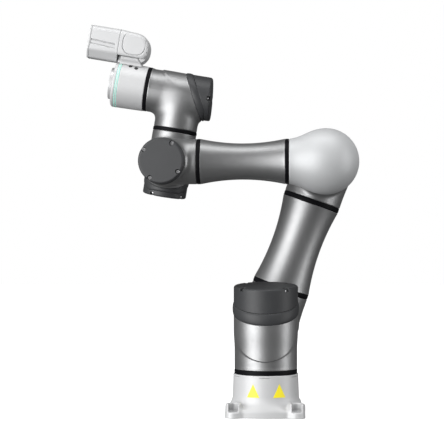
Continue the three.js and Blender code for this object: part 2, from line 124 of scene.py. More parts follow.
X, Y, Z = Vector((1, 0, 0)), Vector((0, 1, 0)), Vector((0, 0, 1))
ARM_PLANE = middle("upper_arm_tube", 1)
FOREARM_PLANE = middle("forearm_tube", 1)
SHOULDER = Vector((0, 0, joint_point("joint_2").z))
ARM_ROOT = Vector((0, ARM_PLANE, SHOULDER.z))
ARM_TIP = Vector((joint_point("joint_3").x, ARM_PLANE, joint_point("joint_3").z))
ELBOW = Vector((ARM_TIP.x, FOREARM_PLANE, ARM_TIP.z))
WRIST_ROOT = Vector((joint_point("joint_4").x, FOREARM_PLANE, joint_point("joint_4").z))
WRIST_TURN = joint_point("joint_5")
WRIST_TIP = joint_point("joint_6")
UPPER_ARM = (ARM_TIP - ARM_ROOT).normalized()
FIFTH = joint_axis("joint_5")
SIXTH = joint_axis("joint_6")


# ---- distance fields --------------------------------------------------------------------------------
def blend_of(a, b, width):
    """Union of two distances with a fillet."""
    h = np.clip(0.5 + 0.5 * (b - a) / width, 0, 1)
    return b * (1 - h) + a * h - width * h * (1 - h)


def common(a, b, width):
    """Overlap of two distances with a rounded edge."""
    return -blend_of(-a, -b, width)


def cut(a, b, width):
    """a with b taken away, its new edge rounded."""
    return common(a, -b, width)


def soft_step(t):
    t = np.clip(t, 0, 1)
    return t * t * (3 - 2 * t)


def rod(p, radius, low, high, edge, axis=2):
    """A round bar along one axis, its ends rounded over edge."""
    others = [i for i in range(3) if i != axis]
    side = np.hypot(p[..., others[0]], p[..., others[1]]) - radius
    ends = np.maximum(low - p[..., axis], p[..., axis] - high)
    return common(side, ends, edge)


def slab(p, low, high, edge):
    """A box between two corners with rounded edges."""
    centre = (np.array(low) + np.array(high)) / 2
    half = (np.array(high) - np.array(low)) / 2 - edge
    q = np.abs(p - centre) - half
    outside = np.linalg.norm(np.maximum(q, 0), axis=-1)
    return outside + np.minimum(q.max(axis=-1), 0) - edge


def moved(p, x=0.0, y=0.0, z=0.0):
    return p - np.array((x, y, z))


# ---- meshing ----------------------------------------------------------------------------------------
def gradient(distance, p, step):
    parts = []
    for axis in range(3):
        offset = np.zeros(3)
        offset[axis] = step
        parts.append((distance(p + offset) - distance(p - offset)) / (2 * step))
    return np.stack(parts, -1)


def net(distance, low, high, cell):
    """Points, faces and normals of the closed surface distance = 0 inside a box."""
    low, high = np.array(low, float) - 2 * cell, np.array(high, float) + 2 * cell
    counts = np.ceil((high - low) / cell).astype(int) + 1
    axes = [low[i] + cell * np.arange(counts[i]) for i in range(3)]
    value = distance(np.stack(np.meshgrid(*axes, indexing="ij"), -1))
    inside = value < 0
    corners = [(i, j, k) for i in (0, 1) for j in (0, 1) for k in (0, 1)]
    nx, ny, nz = counts - 1
    total = sum(inside[i:i + nx, j:j + ny, k:k + nz].astype(np.int8) for i, j, k in corners)
    active = np.argwhere((total > 0) & (total < 8))
    index = np.full((nx, ny, nz), -1, np.int64)
    index[tuple(active.T)] = np.arange(len(active))
    at = {c: value[tuple((active + c).T)] for c in corners}
    summed, crossings = np.zeros((len(active), 3)), np.zeros(len(active))
    for first in corners:
        for axis in range(3):
            if first[axis]:
                continue
            second = tuple(v + (n == axis) for n, v in enumerate(first))
            a, b = at[first], at[second]
            crossed = (a < 0) != (b < 0)
            share = np.where(crossed, a / np.where(crossed, a - b, 1), 0)
            spot = np.array(first, float)[None, :] + share[:, None] * np.eye(3)[axis]
            summed += spot * crossed[:, None]
            crossings += crossed
    points = low + cell * (active + summed / crossings[:, None])
    for _ in range(2):
        slope = gradient(distance, points, 0.1 * cell)
        size = np.maximum((slope ** 2).sum(-1), 0.05)
        move = -distance(points)[:, None] * slope / size[:, None]
        points = points + np.clip(move, -0.5 * cell, 0.5 * cell)
    return points, net_faces(inside, index), gradient(distance, points, 0.2 * cell)


def net_faces(inside, index):
    faces = []
    for axis in range(3):
        b, c = (axis + 1) % 3, (axis + 2) % 3
        near = [slice(1, -1)] * 3
        far = [slice(1, -1)] * 3
        near[axis], far[axis] = slice(0, -1), slice(1, None)
        here, there = inside[tuple(near)], inside[tuple(far)]
        start = np.array([0 if n == axis else 1 for n in range(3)])
        for leaving in (True, False):
            spots = np.argwhere((here & ~there) if leaving else (there & ~here)) + start
            ring = [(0, 0), (-1, 0), (-1, -1), (0, -1)]
            if not leaving:
                ring.reverse()
            quad = []
            for db, dc in ring:
                shift = np.zeros(3, int)
                shift[b], shift[c] = db, dc
                quad.append(index[tuple((spots + shift).T)])
            faces.append(np.stack(quad, -1))
    return np.concatenate(faces)


def mesh_object(name, points, faces, where, normals=None):
    """A named object whose mesh is placed by the matrix where."""
    matrix = np.array(where)
    mesh = bpy.data.meshes.new(name)
    mesh.from_pydata((points @ matrix[:3, :3].T + matrix[:3, 3]).tolist(), [], faces.tolist())
    mesh.polygons.foreach_set("use_smooth", [True] * len(mesh.polygons))
    if normals is not None:
        turned = normals @ matrix[:3, :3].T
        turned /= np.linalg.norm(turned, axis=-1, keepdims=True) + 1e-12
        mesh.normals_split_custom_set_from_vertices(turned.tolist())
    piece = bpy.data.objects.new(name, mesh)
    bpy.context.scene.collection.objects.link(piece)
    return piece


def cast(name, distance, low, high, where, cell=CELL):
    """A piece shaped by a distance field."""
    points, faces, normals = net(distance, low, high, cell)
    return mesh_object(name, points, faces, where, normals)


def swept(name, rows, where):
    """A closed piece from rows of points around an axis; the last row meets the first."""
    count, around = rows.shape[:2]
    ids = np.arange(count * around).reshape(count, around)
    down, right = np.roll(ids, -1, 0), np.roll(ids, -1, 1)
    both = np.roll(down, -1, 1)
    faces = np.stack([ids, right, both, down], -1).reshape(-1, 4)
    return mesh_object(name, rows.reshape(-1, 3), faces, where)


def turned_ring(name, profile, where, sides=ROUND):
    """A closed ring turned about local Z from [radius, z] points."""
    angles = np.linspace(0, 2 * math.pi, sides, endpoint=False)
    profile = np.array(profile)
    rows = np.stack([
        profile[:, None, 0] * np.cos(angles), profile[:, None, 0] * np.sin(angles),
        np.broadcast_to(profile[:, None, 1], (len(profile), sides)),
    ], -1)
    piece = swept(name, rows, where)
    shade(piece, 35)
    return piece


def shade(piece, degrees):
    """Keeps edges sharper than this crisp, and smooths the rest."""
    mesh = piece.data
    work = bmesh.new()
    work.from_mesh(mesh)
    bmesh.ops.recalc_face_normals(work, faces=work.faces)
    for edge in work.edges:
        edge.smooth = len(edge.link_faces) == 2 and edge.calc_face_angle() < math.radians(degrees)
    work.to_mesh(mesh)
    work.free()


def rounded(outline, radius, steps=4):
    """A closed [radius, z] outline with each corner rounded."""
    points = [np.array(p, float) for p in outline]
    result = []
    for i, corner in enumerate(points):
        before, after = points[i - 1] - corner, points[(i + 1) % len(points)] - corner
        size = min(radius, 0.45 * np.linalg.norm(before), 0.45 * np.linalg.norm(after))
        start = corner + before / np.linalg.norm(before) * size
        end = corner + after / np.linalg.norm(after) * size
        for t in np.linspace(0, 1, steps):
            result.append((1 - t) ** 2 * start + 2 * t * (1 - t) * corner + t * t * end)
    return result


# ---- materials --------------------------------------------------------------------------------------
def add_node(material, kind, **inputs):
    node = material.node_tree.nodes.new(kind)
    for name, value in inputs.items():
        node.inputs[name.replace("_", " ")].default_value = value
    return node


def noise(material, scale, detail=2.0):
    tree = material.node_tree
    coordinates = tree.nodes.new("ShaderNodeTexCoord")
    texture = add_node(material, "ShaderNodeTexNoise", Scale=scale, Detail=detail)
    tree.links.new(coordinates.outputs["Object"], texture.inputs["Vector"])
    return texture.outputs["Fac"]


def mapped(material, source, low, high):
    node = add_node(material, "ShaderNodeMapRange", To_Min=low, To_Max=high)
    material.node_tree.links.new(source, node.inputs["Value"])
    return node.outputs["Result"]


def mixed(material, factor, first, second):
    node = material.node_tree.nodes.new("ShaderNodeMix")
    node.data_type = "RGBA"
    node.inputs[6].default_value = (*first, 1)
    node.inputs[7].default_value = (*second, 1)
    material.node_tree.links.new(factor, node.inputs[0])
    return node.outputs[2]


def surface(name, colour, roughness, metallic=0.0, vary=0.06, grain=900.0, bump=0.05,
            depth=0.00004, edge_highlight=0.0, **extra):
    """A painted, moulded or machined finish: cloudy colour, uneven gloss, fine bump, and a painted highlight
    that lightens its sharp convex edges.
    """
    material = bpy.data.materials.new(name)
    material.use_nodes = True
    tree = material.node_tree
    shader = tree.nodes["Principled BSDF"]
    shader.inputs["Metallic"].default_value = metallic
    for key, value in extra.items():
        shader.inputs[key.replace("_", " ")].default_value = value
    dark = tuple(c * (1 - vary) for c in colour)
    light = tuple(min(1, c * (1 + vary)) for c in colour)
    base = mixed(material, noise(material, 35.0), dark, light)
    # painted highlight: sharp convex edges (high pointiness) get a lighter colour, standing in for light
    # caught on them
    if edge_highlight:
        geometry = tree.nodes.new("ShaderNodeNewGeometry")
        edge = add_node(material, "ShaderNodeMapRange", From_Min=0.52, From_Max=0.62, To_Max=edge_highlight)
        tree.links.new(geometry.outputs["Pointiness"], edge.inputs["Value"])
        edge_glint = tree.nodes.new("ShaderNodeMix")
        edge_glint.data_type = "RGBA"
        edge_glint.inputs[7].default_value = (*(min(1, 1.6 * c + 0.05) for c in colour), 1)
        tree.links.new(edge.outputs["Result"], edge_glint.inputs[0])
        tree.links.new(base, edge_glint.inputs[6])
        base = edge_glint.outputs[2]
    tree.links.new(base, shader.inputs["Base Color"])
    gloss = mapped(material, noise(material, 140.0, 4.0), roughness * 0.88, roughness * 1.12)
    tree.links.new(gloss, shader.inputs["Roughness"])
    relief = add_node(material, "ShaderNodeBump", Strength=bump, Distance=depth)
    tree.links.new(noise(material, grain), relief.inputs["Height"])
    tree.links.new(relief.outputs["Normal"], shader.inputs["Normal"])
    return material


# On the grey, silver, white and cover finishes, sharp edges are lightened as a painted highlight.
GREY = surface("grey_paint", (0.28, 0.282, 0.285), 0.46, 0.9, vary=0.03, grain=1500.0, edge_highlight=0.5)
SILVER = surface("silver_paint", (0.42, 0.427, 0.434), 0.52, 0.2, vary=0.02, grain=1500.0, edge_highlight=0.3)
WHITE = surface("white_paint", (0.45, 0.453, 0.458), 0.48, 0.15, vary=0.02, grain=1400.0, edge_highlight=0.3)
COVER = surface("dark_cover", (0.03, 0.031, 0.033), 0.5, vary=0.1, grain=1900.0, bump=0.3, edge_highlight=0.3,
                Specular_IOR_Level=0.36)
SEAL = surface("black_seal", (0.004, 0.004, 0.005), 0.5, vary=0.2, grain=700.0,
               Specular_IOR_Level=0.06)
STEEL = surface("steel", (0.45, 0.45, 0.46), 0.3, 1.0, grain=2200.0, bump=0.15)
COPPER = surface("motor_windings", (0.4, 0.22, 0.12), 0.45, 0.7, vary=0.15, grain=500.0, bump=0.4)
PLASTIC = surface("black_plastic", (0.012, 0.012, 0.013), 0.4, vary=0.15, grain=1700.0, bump=0.2)
JACKET = surface("cable_jacket", (0.02, 0.02, 0.02), 0.6, vary=0.2, grain=800.0, bump=0.3)
FLANGE = surface("anodised_flange", (0.5, 0.505, 0.51), 0.38, 0.35, grain=2400.0, bump=0.12)
LIGHT = surface("mint_light", (0.4, 0.75, 0.66), 0.3, vary=0.04, grain=600.0,
                Emission_Color=(0.3, 0.85, 0.66, 1), Emission_Strength=0.15)
GLASS = surface("camera_glass", (0.03, 0.04, 0.05), 0.06, vary=0.1, grain=300.0, bump=0.01, Alpha=0.55)
LABEL = surface("label_yellow", (0.8, 0.68, 0.01), 0.45, vary=0.05, grain=900.0)


def finish(piece, material, body, slot, *nodes):
    """Gives a piece its material and body, and hides the CAD nodes it stands for; slot is not used."""
    piece.data.materials.clear()
    piece.data.materials.append(material)
    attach(piece, body)
    if nodes:
        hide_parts(*nodes)
    return piece


# ---- actuator modules -------------------------------------------------------------------------------
class Module:
    """One actuator's sizes, measured from its CAD nodes. +Z runs to the rear cap and +X to the port."""

    def __init__(self, number, origin, port, rear, body, driven):
        self.number, self.body_name, self.driven = number, body, driven
        self.where = place(origin, port, rear)
        large = number <= 3
        self.slope = LARGE_SLOPE if large else SMALL_SLOPE
        self.wall = WALL["large" if large else "small"]
        self.motor = MOTOR["large" if large else "small"]
        self.side_crease = 0.92 if large else 0.0  # how much the port's fillet fades out at its sides
        cap, band, housing = self.node("rear_cap"), self.node("rim_band"), self.node("housing")
        self.radius = widest(cap, self.where)
        corners = points_in(cap, self.where)
        self.end = (corners[:, 2] - END_SLOPE * corners[:, 0]).max()
        self.band_radius = widest(band, self.where)
        corners = points_in(band, self.where)
        far = corners[corners[:, 0] < -0.9 * self.band_radius]
        self.band_low = far[:, 2].min() + self.slope * self.band_radius
        self.band_high = far[:, 2].max() + self.slope * self.band_radius
        self.rim = reach(band, self.where)[1]
        self.bottom = reach(housing, self.where)[0]
        self.port_end = reach(housing, self.where, 0)[1]
        self.seal_low, self.seal_high = reach(self.node("seal_ring"), self.where)
        self.seal_radius = widest(self.node("seal_ring"), self.where)
        corners = points_in(housing, self.where)
        mouth = corners[corners[:, 0] > self.port_end - 1 * MM]
        self.port_radius = np.hypot(mouth[:, 1], mouth[:, 2]).max()

    def node(self, part):
        return f"joint_{self.number}_{part}"

    def cut_plane(self, p, height):
        """Distance above the slanted plane z = height + slope * x."""
        return (p[..., 2] - height - self.slope * p[..., 0]) / math.hypot(1, self.slope)


def housing_shape(m):
    lip = m.seal_radius - 0.2 * MM
    port_root = m.radius - 1.5 * MM

    def body(p):
        """Round body, a slanted crease on the side away from the port, a chamfer at the driven end."""
        x, z = p[..., 0], p[..., 2]
        across = np.hypot(x, p[..., 1])
        facing = np.clip(-x / m.radius, 0, 1)
        spread = 2.6 * MM + 34 * MM * (1 - facing) ** 1.5
        above = soft_step((z - CREASE_SLOPE * x + CREASE_DROP) / spread + 0.5)
        back_out = soft_step((m.bottom + 7 * MM - z) / (7 * MM))
        step = CREASE_STEP * (1 - above) * (1 - back_out) * np.sqrt(facing)
        radius = m.radius + (lip - m.radius) * soft_step(-z / (0.6 * m.radius)) - step
        chamfer = across - lip + 0.9 * MM - (z - m.bottom)
        return common(common(across - radius, m.bottom - z, 0.6 * MM), chamfer * 0.7, 0.8 * MM)

    def port(p):
        """Round side port, drawn in towards its mouth."""
        x = p[..., 0]
        around = np.sqrt(p[..., 1] ** 2 + p[..., 2] ** 2 + (1.5 * np.minimum(x, 0)) ** 2)
        taper = soft_step(1 - np.maximum(x, 0) / (0.75 * m.port_end))
        radius = m.port_radius + (port_root - m.port_radius) * taper
        mouth = around - m.port_radius + 0.9 * MM - (m.port_end - x)
        return common(common(around - radius, x - m.port_end, 0.6 * MM), mouth * 0.7, 0.8 * MM)

    def distance(p):
        x, z = p[..., 0], p[..., 2]
        across, around = np.hypot(x, p[..., 1]), np.hypot(p[..., 1], z)
        fillet = 15 * MM * (1 - m.side_crease * np.clip(np.abs(p[..., 1]) / m.radius, 0, 1) ** 2)
        outer = blend_of(body(p), port(p), fillet)
        hollow = np.maximum(across - m.radius + m.wall + 0.9 * MM, m.bottom + m.wall - z)
        outlet = across - m.motor + 2 * MM
        port_hollow = np.maximum(around - m.port_radius + 2 * m.wall, -x)
        inner = np.minimum(np.minimum(hollow, outlet), port_hollow)
        return common(np.maximum(outer, -inner), m.cut_plane(p, m.band_low - GAP), 1.0 * MM)

    return distance


def make_housing(m):
    half = m.radius + 2 * MM
    low = (-half, -half, m.bottom)
    high = (max(half, m.port_end), half, m.band_low + m.slope * half)
    piece = cast(m.node("shell"), housing_shape(m), low, high, m.where, CELL if m.number <= 3 else MID_CELL)
    finish(piece, GREY, m.body_name, "grey_housing", m.node("housing"))


def make_rim_band(m):
    """The slanted band between housing and cap, bulging a little past both."""
    angles = np.linspace(0, 2 * math.pi, 128, endpoint=False)
    low = m.band_low + m.slope * m.radius * np.cos(angles)
    high = np.minimum(m.band_high + m.slope * m.radius * np.cos(angles), m.rim)
    bulge = m.band_radius - m.radius
    rows = []
    for t in np.linspace(0, 1, 15):
        radius = m.radius + bulge * math.sin(math.pi * t) ** 0.55 if 0 < t < 1 else m.radius
        rows.append((radius, low + (high - low) * t))
    rows.append((m.radius - m.wall, high))
    rows.append((m.radius - m.wall, low))
    rows = np.stack([np.stack([r * np.cos(angles), r * np.sin(angles), z], -1) for r, z in rows])
    piece = swept(m.node("band"), rows, m.where)
    shade(piece, 40)
    finish(piece, COVER, m.body_name, "dark_cover", m.node("rim_band"))


def screw_spots(m):
    """Where the four cap screws stand, in the module's frame."""
    ring = 0.88 * m.radius
    for i in range(4):
        turn = math.radians(SCREW_TURN[m.number] + 90 * i)
        yield ring * math.cos(turn), ring * math.sin(turn)


def cap_shape(m):
    """A cup whose flat end is tilted, its edge notched round each screw."""
    crown = 4 * MM  # left between a notch's floor and the hollow

    def distance(p):
        across, z = np.hypot(p[..., 0], p[..., 1]), p[..., 2]
        top = z - m.end - END_SLOPE * p[..., 0]
        side, lid = across - m.radius + CAP_CORNER, top + CAP_CORNER
        outer = np.hypot(np.maximum(side, 0), np.maximum(lid, 0)) - CAP_CORNER
        outer = outer + np.minimum(np.maximum(side, lid), 0)
        hollow = np.maximum(across - m.radius + m.wall, top + NOTCH_DEPTH + crown)
        keep = np.minimum(-m.cut_plane(p, m.band_high + GAP), m.rim + GAP - z)
        shell = common(np.maximum(outer, -hollow), keep, 0.8 * MM)
        for x, y in screw_spots(m):
            ring = math.hypot(x, y)
            outward = (p[..., 0] * x + p[..., 1] * y) / ring - ring
            along = (p[..., 1] * x - p[..., 0] * y) / ring
            notch = np.maximum(np.hypot(np.minimum(outward, 0), along) - NOTCH, -outward - NOTCH)
            shell = cut(shell, np.maximum(notch, -top - NOTCH_DEPTH), 0.5 * MM)
        return shell

    return distance


def make_rear_cap(m):
    half = m.radius
    low = (-half, -half, m.band_high - m.slope * half)
    high = (half, half, m.end + END_SLOPE * half)
    piece = cast(m.node("cap"), cap_shape(m), low, high, m.where, FINE_CELL)
    finish(piece, COVER, m.body_name, "dark_cover", m.node("rear_cap"))


def make_cap_screws(m):
    """Socket-head screws sunk in the cap's edge, one solid each."""
    head, socket, tall, deep = 3.6 * MM, 1.9 * MM, 3.4 * MM, 1.8 * MM
    levels = [(0, 0), (head, 0), (head, tall - 0.5 * MM), (head - 0.5 * MM, tall), (socket, tall),
              (socket, tall - deep), (0, tall - deep)]
    sides = 24
    turns = [2 * math.pi * i / sides for i in range(sides)]
    work = bmesh.new()
    for x, y in screw_spots(m):
        floor = m.end + END_SLOPE * x - NOTCH_DEPTH - 0.5 * MM
        rings = []
        for radius, z in levels:
            around = turns if radius else [0]
            rings.append([
                work.verts.new((x + radius * math.cos(a), y + radius * math.sin(a), floor + z))
                for a in around
            ])
        for lower, upper in zip(rings, rings[1:]):
            for i in range(sides):
                j = (i + 1) % sides
                corners = [lower[i % len(lower)], lower[j % len(lower)], upper[j % len(upper)],
                           upper[i % len(upper)]]
                work.faces.new(list(dict.fromkeys(corners)))
    mesh = bpy.data.meshes.new(m.node("cap_screws"))
    work.to_mesh(mesh)
    work.free()
    mesh.transform(m.where)
    piece = bpy.data.objects.new(mesh.name, mesh)
    bpy.context.scene.collection.objects.link(piece)
    shade(piece, 30)
    finish(piece, STEEL, m.body_name, "motor_steel")


def make_seal(m):
    inner = m.port_radius - 8 * MM
    outline = [(inner, m.seal_low), (m.seal_radius, m.seal_low), (m.seal_radius, m.seal_high),
               (inner, m.seal_high)]
    piece = turned_ring(m.node("seal"), rounded(outline, 0.7 * MM), m.where)
    finish(piece, SEAL, m.driven, "black_seal", m.node("seal_ring"))


MODULES = [
    Module(1, SHOULDER, Y, Z, "shoulder", "base"),
    Module(2, ARM_ROOT, UPPER_ARM, Y, "upper_arm", "shoulder"),
    Module(3, ARM_TIP, -UPPER_ARM, Y, "upper_arm", "forearm"),
    Module(4, WRIST_ROOT, X, -Y, "forearm", "wrist"),
    Module(5, WRIST_TURN, -Y, -FIFTH, "wrist", "wrist_turn"),
    Module(6, WRIST_TIP, -FIFTH, -SIXTH, "wrist_turn", "end_module"),
]
for module in MODULES:
    make_housing(module)
    make_rim_band(module)
    make_rear_cap(module)
    make_cap_screws(module)
    make_seal(module)


# ---- arm tubes and elbow ----------------------------------------------------------------------------
def make_tube(name, where, body):
    """A waisted tube with a small chamfer at each end."""
    low, high = reach(name, where)
    corners = points_in(name, where)
    radii = np.hypot(corners[:, 0], corners[:, 1])
    end = radii[corners[:, 2] < low + 1 * MM].max()
    centre = np.abs(corners[:, 2] - (low + high) / 2) < 2 * MM
    waist = radii[centre].max()
    outer = []
    for t in np.linspace(0, 1, 41):
        outer.append((waist + (end - waist) * (2 * t - 1) ** 2, low + (high - low) * t))
    chamfer = 0.8 * MM
    outer[0] = (end - 0.7 * MM, low)
    outer[-1] = (end - 0.7 * MM, high)
    outer.insert(1, (end - 0.05 * MM, low + chamfer))
    outer.insert(-1, (end - 0.05 * MM, high - chamfer))
    inner = [(r - TUBE_WALL, z) for r, z in reversed(outer[2:-2:4])]
    inner = [(outer[-1][0] - TUBE_WALL, high)] + inner + [(outer[0][0] - TUBE_WALL, low)]
    piece = turned_ring(name + "_shell", outer + inner, where)
    finish(piece, GREY, body, "grey_housing", name)


def make_tube_ring(name, where, body):
    low, high = reach(name, where)
    corners = points_in(name, where)
    radii = np.hypot(corners[:, 0], corners[:, 1])
    outer, inner = radii.max(), radii.min()
    outline = [(inner, low), (outer, low), (outer, high), (inner, high)]
    piece = turned_ring(name + "_band", rounded(outline, 0.7 * MM), where)
    finish(piece, SEAL, body, "black_seal", name)


UPPER = place(ARM_ROOT, Y, UPPER_ARM)
FORE = place(ELBOW, Y, -X)
make_tube("upper_arm_tube", UPPER, "upper_arm")
make_tube("forearm_tube", FORE, "forearm")
for ring in ("upper_arm_shoulder_ring", "upper_arm_elbow_ring"):
    make_tube_ring(ring, UPPER, "upper_arm")
for ring in ("forearm_elbow_ring", "forearm_wrist_ring"):
    make_tube_ring(ring, FORE, "forearm")


def elbow_shape():
    """Ball with a neck along +Z to the forearm and a boss along +X to the third joint."""
    neck_end = reach("elbow_cover", FORE)[1]
    boss_end = reach("elbow_cover", FORE, 0)[1]
    ball = -reach("elbow_cover", FORE, 1)[0]
    neck_radius = widest("forearm_elbow_ring", FORE)
    boss_radius = MODULES[2].port_radius
    wall = TUBE_WALL

    def distance(p):
        z = p[..., 2]
        x, y = p[..., 0], p[..., 1]
        across = np.sqrt(x ** 2 + y ** 2 + np.minimum(z, 0) ** 2)
        around = np.sqrt(y ** 2 + z ** 2 + np.minimum(x, 0) ** 2)
        round_part = np.linalg.norm(p, axis=-1) - ball
        neck_r = neck_radius + 3 * MM * soft_step(1 - np.maximum(z, 0) / neck_end)
        lip = across - neck_radius + 1.2 * MM - (neck_end - z)
        neck = common(across - neck_r, z - neck_end, 0.6 * MM)
        neck = common(neck, lip * 0.7, 0.8 * MM)
        boss_lip = around - boss_radius + 1.2 * MM - (boss_end - x)
        boss = common(around - boss_radius, x - boss_end, 0.6 * MM)
        boss = common(boss, boss_lip * 0.7, 0.8 * MM)
        outer = blend_of(blend_of(round_part, neck, 26 * MM), boss, 12 * MM)
        inner = np.minimum(round_part + 2 * wall, across - neck_radius + 10 * MM)
        inner = np.minimum(inner, around - boss_radius + 8 * MM)
        return np.maximum(outer, -inner)

    return distance, (-ball, -ball, -ball), (boss_end, ball, neck_end)


shape, low, high = elbow_shape()
elbow = cast("elbow_ball", shape, low, high, FORE)
finish(elbow, SILVER, "forearm", "silver_casting", "elbow_cover")

# ---- base -------------------------------------------------------------------------------------------
WORLD = Matrix.Identity(4)
LUG = 16.5 * MM  # radius of a foot lug
LUG_HEIGHT = 28 * MM
PLATE = 13 * MM  # thickness of the foot plate
SEAT = 12 * MM  # height of the bolt seats
POCKET, BOLT_HOLE = 9 * MM, 5.5 * MM  # radii
BASE_TOP = reach("base_casting", WORLD)[1]
BASE_LOW, BASE_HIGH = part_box("base_casting")
LUG_AT = BASE_HIGH.x - LUG
BOSS_HALF, BOSS_FRONT, BOSS_TOP = 58 * MM, 30 * MM, 42 * MM
BOSS_INNER = (-46 * MM, 46 * MM, 12 * MM, 36 * MM)  # left, right, bottom and top of its opening
SKIRT_HALF, SKIRT_FRONT, SKIRT_TOP = 67 * MM, 20 * MM, 25 * MM


def base_top_radius():
    corners = points_in("base_casting", WORLD)
    return np.hypot(corners[:, 0], corners[:, 1])[corners[:, 2] > BASE_TOP - 1 * MM].max()


BASE_RADIUS = base_top_radius()


def base_radius(z):
    """Outside radius of the base drum: drawn in a little towards the top."""
    return BASE_RADIUS + 2.4 * MM * np.clip(1 - z / (BASE_TOP - 4 * MM), 0, 1)


def base_shape(p):
    x, y, z = p[..., 0], p[..., 1], p[..., 2]
    across = np.hypot(x, y)
    drum = common(across - base_radius(z), z - BASE_TOP, 1.5 * MM)
    foot = slab(p, (-68 * MM, -68 * MM, -5 * MM), (68 * MM, 68 * MM, PLATE), 3.5 * MM)
    outer = blend_of(drum, foot, 26 * MM)
    corner = np.stack([np.abs(x) - LUG_AT, np.abs(y) - LUG_AT, z], -1)
    draft = 1.5 * MM * np.clip(z / LUG_HEIGHT, 0, 1)
    lug_top = np.where(y < 0, LUG_HEIGHT, SEAT)
    lug_edge = np.where(y < 0, 4 * MM, 1.5 * MM)
    lug = common(np.hypot(corner[..., 0], corner[..., 1]) - LUG + draft, z - lug_top, lug_edge)
    outer = blend_of(outer, lug, np.where(y < 0, 7 * MM, 2 * MM))
    skirt = slab(p, (-SKIRT_HALF, SKIRT_FRONT, -5 * MM), (SKIRT_HALF, LUG_AT, SKIRT_TOP), 3 * MM)
    outer = blend_of(outer, skirt, 6 * MM)
    boss = slab(p, (-BOSS_HALF, BOSS_FRONT, -5 * MM), (BOSS_HALF, BASE_HIGH.y, BOSS_TOP), 4 * MM)
    outer = blend_of(outer, boss, 8 * MM)
    outer = common(outer, -z, 0.8 * MM)
    left, right, bottom, top = BOSS_INNER
    cavity = slab(p, (left, 20 * MM, bottom), (right, BASE_HIGH.y + 9 * MM, top), 2 * MM)
    hollow = np.maximum(across - BASE_RADIUS + 6 * MM, 6 * MM - z)
    inner = np.minimum(hollow, cavity)
    pocket = np.hypot(corner[..., 0], corner[..., 1]) - POCKET
    opening = np.maximum(np.abs(corner[..., 0]) - POCKET, -corner[..., 1])
    pocket = common(np.minimum(pocket, opening), SEAT - z, 2.5 * MM)
    bolt = np.hypot(corner[..., 0], corner[..., 1]) - BOLT_HOLE
    shape = cut(np.maximum(outer, -inner), pocket, 3 * MM)
    shape = cut(shape, bolt, 1.2 * MM)
    turn = np.arctan2(x, -y)
    for middle_turn in (-1.08, 0.0, 1.08):
        along = np.abs(turn - middle_turn) - 0.16
        slot = np.maximum(np.abs(z - BASE_TOP + 4.2 * MM) - 0.75 * MM, BASE_RADIUS - 1.6 * MM - across)
        shape = np.maximum(shape, -np.maximum(slot, along * BASE_RADIUS))
    return shape


def make_base():
    piece = cast("base_body", base_shape, BASE_LOW, BASE_HIGH, WORLD, MID_CELL)
    finish(piece, WHITE, "base", "silver_casting", "base_casting")


def make_label(name, turn, height, width):
    """A blank yellow triangle lying on the drum, standing a little proud of it."""
    steps, tall = 14, width * 1.02
    outer, inner = [], []
    index, faces = {}, []
    for row in range(steps + 1):
        for column in range(row + 1):
            across = (column - row / 2) / steps * width
            z = height + tall * (0.5 - row / steps)
            angle = turn + across / BASE_RADIUS
            index[row, column] = len(outer)
            for store, lift in ((outer, 0.3 * MM), (inner, -0.5 * MM)):
                r = base_radius(z) + lift
                store.append((r * math.sin(angle), -r * math.cos(angle), z))
    count = len(outer)
    for row in range(steps):
        for column in range(row + 1):
            a, b, c = index[row, column], index[row + 1, column], index[row + 1, column + 1]
            faces.append((a, b, c))
            if column < row:
                faces.append((a, c, index[row, column + 1]))
    back = [tuple(i + count for i in reversed(face)) for face in faces]
    rim = [index[row, 0] for row in range(steps + 1)]
    rim += [index[steps, column] for column in range(1, steps + 1)]
    rim += [index[row, row] for row in range(steps - 1, 0, -1)]
    sides = [(b, a, a + count, b + count) for a, b in zip(rim, rim[1:] + rim[:1])]
    mesh = bpy.data.meshes.new(name)
    mesh.from_pydata(outer + inner, [], faces + back + sides)
    piece = bpy.data.objects.new(name, mesh)
    bpy.context.scene.collection.objects.link(piece)
    shade(piece, 40)
    finish(piece, LABEL, "base", "silver_casting")


def make_connector():
    low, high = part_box("base_connector_panel")
    hole = 11.6 * MM

    def panel(p):
        plate = slab(p, low, high, 0.9 * MM)
        screw_x = np.abs(p[..., 0]) - 0.9 * high.x
        screw = np.hypot(screw_x, p[..., 2] - (low.z + high.z) / 2) - 2.2 * MM
        recess = np.maximum(screw, high.y - 1.2 * MM - p[..., 1])
        centre = np.hypot(p[..., 0], p[..., 2] - (low.z + high.z) / 2) - hole
        return np.maximum(np.maximum(plate, -centre), -recess)

    piece = cast("connector_plate", panel, low, high, WORLD, 0.8 * MM)
    finish(piece, PLASTIC, "base", "black_plastic", "base_connector_panel")
    low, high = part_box("base_cable_socket")
    centre = Vector(((low.x + high.x) / 2, low.y, (low.z + high.z) / 2))
    depth, radius = high.y - low.y, (high.x - low.x) / 2
    outline = [(0.2 * MM, 0), (radius, 0), (radius, 0.86 * depth), (radius - 1 * MM, depth),
               (0.77 * radius, depth), (0.77 * radius, 0.45 * depth), (0.2 * MM, 0.45 * depth)]
    piece = turned_ring("cable_socket_shell", rounded(outline, 0.5 * MM), place(centre, X, Y))
    finish(piece, STEEL, "base", "motor_steel", "base_cable_socket")


make_base()
make_label("label_left", -0.37, 51 * MM, 25 * MM)
make_label("label_right", 0.44, 51 * MM, 25 * MM)
make_connector()


